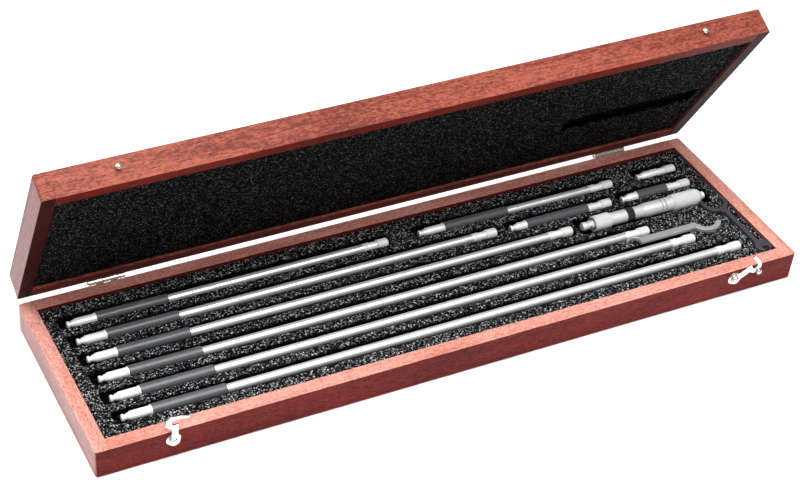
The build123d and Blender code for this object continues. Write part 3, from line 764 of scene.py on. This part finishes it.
def head_thimble():
    start, end = head_x("head_thimble")
    knurl_start, shoulder = start + KNURL_START, start + SHOULDER_START
    bore_end = start + THIMBLE_BORE_END
    outer = [
        (start, THIMBLE_EDGE_R), (start + BEVEL_END, THIMBLE_R), (knurl_start - 0.3, THIMBLE_R),
        (knurl_start, 5.6), (knurl_start + 0.6, KNURL_R), (shoulder, KNURL_R),
        (shoulder + 0.8, 5.95), (shoulder + 1.6, 5.6), (shoulder + 2.4, 5.1),
        (shoulder + 3.0, 4.55), (end, 3.15),
    ]
    outer = sampled(outer, knurl_start + 0.7, shoulder, 0.15)
    inner = [
        (end, STEM_BORE_R), (bore_end, STEM_BORE_R),
        (bore_end, THIMBLE_BORE_R), (start, THIMBLE_BORE_R),
    ]
    mesh = lathe_mesh("head_thimble_knurled", outer + inner, 336, ring=True)
    knurl = diamond_knurl(knurl_start + 0.9, shoulder - 0.2, teeth=56, lead=1.3, depth=0.16)
    apply_relief(mesh, knurl, KNURL_R - 0.05)
    relief_piece(mesh, "head_thimble", "satin_chrome", SATIN_CHROME, KNURL_CHROME)
    bore_reach = (STEM_BORE_R + 0.15) * MM
    for face in mesh.polygons:
        outside = face.center.yz.length > bore_reach
        knurled = outside and face.center.x / MM > knurl_start + 0.5
        face.material_index = 1 if knurled else 0


def arc_mark(bm, x0, x1, radius0, radius1, angle, width, proud=0.012):
    """A thin closed strip lying on a cylinder or cone, in millimetres, centred on an angle."""
    corners = []
    for depth in (-0.05, proud):
        for x, radius in ((x0, radius0), (x1, radius1)):
            for side in (-1, 1):
                turn = angle + side * width / 2 / radius
                reach = (radius + depth) * MM
                place = (x * MM, reach * math.cos(turn), reach * math.sin(turn))
                corners.append(bm.verts.new(place))
    a, b, c, d, e, f, g, h = corners
    bottom_and_top = (a, b, d, c), (e, g, h, f)
    sides = (a, c, g, e), (b, f, h, d), (a, e, f, b), (c, d, h, g)
    for loop in (*bottom_and_top, *sides):
        bm.faces.new(loop)


def marks_piece(name, node, bm):
    """Inked marks that ride with a head node and stand for none."""
    bmesh.ops.recalc_face_normals(bm, faces=bm.faces)
    mesh = bpy.data.meshes.new(name)
    bm.to_mesh(mesh)
    bm.free()
    mesh.materials.append(INK_AND_PAINTED_SHADE)
    piece = link(name, mesh)
    piece.location = HEAD_AT
    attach(piece, BODY_OF[node])


# Where the scales start about the head's axis, measured from the back over the top.
SCALE_ANGLE = math.radians(130)
THREAD_PITCH = 0.635
THIMBLE_DIVISIONS = 25


def sleeve_scale(start, end):
    """A line along the sleeve, with a tick at each turn of the thimble."""
    bm = bmesh.new()
    arc_mark(bm, start + 0.8, end - 0.3, SLEEVE_R, SLEEVE_R, SCALE_ANGLE, 0.12)
    for index in range(10):
        x = start + 1.1 + index * THREAD_PITCH
        width = 1.6 if index % 4 == 0 else 0.9
        angle = SCALE_ANGLE + width / 2 / SLEEVE_R
        arc_mark(bm, x - 0.05, x + 0.05, SLEEVE_R, SLEEVE_R, angle, width)
    marks_piece("head_sleeve_scale", "head_sleeve", bm)


def thimble_scale(start):
    """Divisions round the thimble's bevel, and two rows of plain ticks where lettering would be."""

    def cone(distance):
        return THIMBLE_EDGE_R + 0.4 * distance / BEVEL_END

    bm = bmesh.new()
    near = 0.15
    for index in range(THIMBLE_DIVISIONS):
        angle = SCALE_ANGLE + index * 2 * math.pi / THIMBLE_DIVISIONS
        far = near + (2.3 if index % 5 == 0 else 1.4)
        arc_mark(bm, start + near, start + far, cone(near), cone(far), angle, 0.13)
    for index in range(7):
        angle = SCALE_ANGLE - 0.9 + index * 0.26
        arc_mark(bm, start + 15.2, start + 16.4, THIMBLE_R, THIMBLE_R, angle, 0.55)
        arc_mark(bm, start + 18.0, start + 19.6, THIMBLE_R, THIMBLE_R, angle, 0.5)
    marks_piece("head_thimble_scale", "head_thimble", bm)


def head_contact():
    start, end = head_x("head_end_contact")
    spindle_end, button_start = start + SPINDLE_LENGTH, end - BUTTON_LENGTH
    profile = [
        (start, SPINDLE_R), (spindle_end, SPINDLE_R), (spindle_end, STEM_R),
        (button_start, STEM_R), (button_start, BUTTON_R),
        (end - 0.7, BUTTON_R), (end - 0.2, 2.2), (end, 1.2),
    ]
    head_piece(
        "head_contact_turned", "head_end_contact", eased(profile, 0.1), TURNED_STEEL, "rod_steel",
        segments=48,
    )


def head_tip():
    """The contact tip; the wall of its cross hole is black ink as painted shade."""
    piece = eased_piece("head_tip", "rod_steel", 0.05, SATIN_CHROME, INK_AND_PAINTED_SHADE)
    direction = Vector((0, -math.sin(CROSS_HOLE_TURN), math.cos(CROSS_HOLE_TURN)))
    for face in piece.data.polygons:
        offset = face.center - HEAD_AT - Vector((CROSS_HOLE_AT * MM, 0, 0))
        reach = (offset - offset.dot(direction) * direction).length
        # Painted shade: faces of the cross hole's wall take the black ink.
        if reach < CROSS_HOLE_REACH * MM and abs(face.normal.dot(direction)) < 0.3:
            face.material_index = 1


head_collar()
head_body()
head_lock_ring()
head_sleeve()
head_thimble()
sleeve_scale(head_x("head_lock_ring")[1], head_x("head_thimble")[0])
thimble_scale(head_x("head_thimble")[0])
head_contact()
head_tip()


# ------------------------------------------------------------------ wrenches

eased_piece("wrench_open_end", "wrench_dark", 0.25, DARK_WRENCH)
eased_piece("wrench_hook", "wrench_light", 0.25, LIGHT_WRENCH)


# ------------------------------------------------------------------ stage

FLOOR_REACH = 6.0


def floor():
    mesh = bpy.data.meshes.new("floor")
    signs = (-1, -1), (1, -1), (1, 1), (-1, 1)
    corners = [(x * FLOOR_REACH, y * FLOOR_REACH, 0) for x, y in signs]
    mesh.from_pydata(corners, [], [(0, 1, 2, 3)])
    shader = Shader("floor_white", Roughness=0.6, Specular_IOR_Level=0.2)
    cloud = shader.noise(shader.mapped((3, 3, 3)), detail=1)
    shader.set("Base Color", shader.mix(cloud, (0.90, 0.90, 0.90), (0.92, 0.92, 0.92)))
    mesh.materials.append(shader.material)
    sheet = link("floor", mesh)


def softbox(name, position, target, width, height, watts):
    """A rectangular area light that faces a target; sizes and places in metres."""
    data = bpy.data.lights.new(name, "AREA")
    data.shape = "RECTANGLE"
    data.size = width
    data.size_y = height
    data.energy = watts
    lamp = link(name, data)
    lamp.location = position
    towards = Vector(target) - Vector(position)
    lamp.rotation_euler = towards.to_track_quat("-Z", "Y").to_euler()


def studio():
    """A strong light overhead, weak ones from the left and front, and a pale surround."""
    softbox("overhead", (-0.2, -0.15, 1.5), (0, 0, 0), 2.2, 1.0, watts=56)
    softbox("left", (-1.5, 0.3, 0.8), (0, 0, 0.05), 1.2, 0.9, watts=8)
    softbox("front", (-0.2, -1.2, 1.6), (0, 0, 0.05), 1.8, 0.8, watts=4)
    world = bpy.data.worlds.new("studio")
    world.use_nodes = True
    background = world.node_tree.nodes["Background"]
    background.inputs["Color"].default_value = (1, 1, 1, 1)
    background.inputs["Strength"].default_value = 0.28
    bpy.context.scene.world = world
    bpy.context.scene.view_settings.view_transform = "Standard"


def camera():
    """The photograph's camera, solved from the corners of the case."""
    data = bpy.data.cameras.new("camera")
    data.sensor_width = 36
    data.lens = 79.98
    data.shift_x = 0.1575
    data.shift_y = 0.1275
    data.clip_start = 0.01
    eye = link("camera", data)
    right = Vector((0.91091747, -0.41059619, 0.04049843))
    up = Vector((0.24938485, 0.62613248, 0.7387593))
    back = Vector((-0.32868914, -0.66284906, 0.67275149))
    turn = Matrix((right, up, back)).transposed().to_4x4()
    eye.matrix_world = Matrix.Translation((-0.49763, -0.78769, 0.79785)) @ turn
    bpy.context.scene.camera = eye


floor()
studio()
camera()
